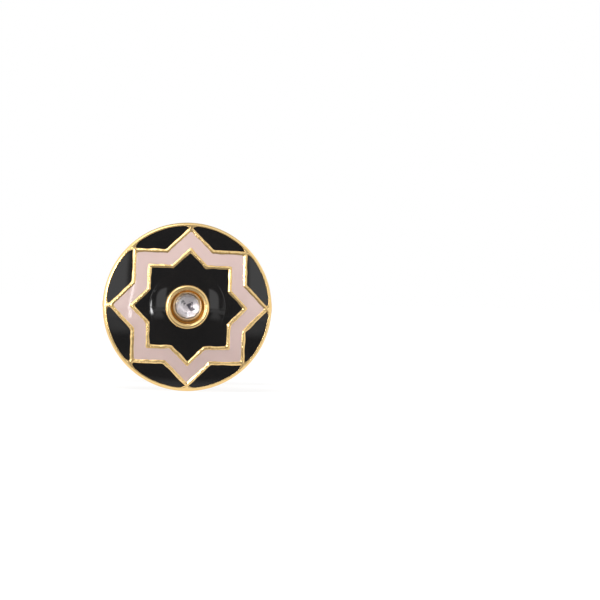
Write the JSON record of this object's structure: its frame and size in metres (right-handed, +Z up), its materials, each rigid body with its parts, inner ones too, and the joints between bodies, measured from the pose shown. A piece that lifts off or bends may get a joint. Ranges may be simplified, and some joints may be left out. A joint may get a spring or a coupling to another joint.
{
  "type": "cufflink",
  "caption": "Round cufflink with a domed enamelled star face, a set clear stone, a forked post and a toggle bar that turns on a cross pin to lock behind the cuff.",
  "frame": {"origin": "on the post's axis, in the plane of the face's back lip, where the outside of the cuff bears", "axes": "+X along the toggle bar at rest, towards its domed cap; +Y down the post from the face to the bar; +Z up as it is worn, along the pivot pin"},
  "size_m": [0.0196, 0.0176, 0.018],
  "materials": {
    "gold_plated_brass": "polished gold plate",
    "black_enamel": "glossy fired enamel",
    "pink_enamel": "glossy fired enamel",
    "clear_stone": "faceted and polished",
    "bright_foil": "bright foil",
    "spring_steel": "rolled"
  },
  "bodies": {
    "face": {"face_plate": "gold_plated_brass", "rim_enamel_1": "black_enamel", "rim_enamel_2": "black_enamel", "rim_enamel_3": "black_enamel", "rim_enamel_4": "black_enamel", "rim_enamel_5": "black_enamel", "rim_enamel_6": "black_enamel", "rim_enamel_7": "black_enamel", "rim_enamel_8": "black_enamel", "band_enamel": "pink_enamel", "centre_enamel": "black_enamel", "bezel_ring": "gold_plated_brass", "stone_cup": "gold_plated_brass", "stone_foil": "bright_foil", "stone": "clear_stone", "post_frame": "gold_plated_brass", "pivot_pin": "gold_plated_brass"},
    "toggle": {"toggle_tube": "gold_plated_brass", "toggle_end_cap": "gold_plated_brass", "toggle_end_plug": "gold_plated_brass", "toggle_leaf_spring": "spring_steel"}
  },
  "joints": [
    {"name": "toggle_swing", "type": "hinge", "parent": "face", "child": "toggle", "pos_m": [0, 0.0118, 0], "axis": [0, 0, 1], "continuous": true, "deforming": ["toggle_leaf_spring"]}
  ]
}
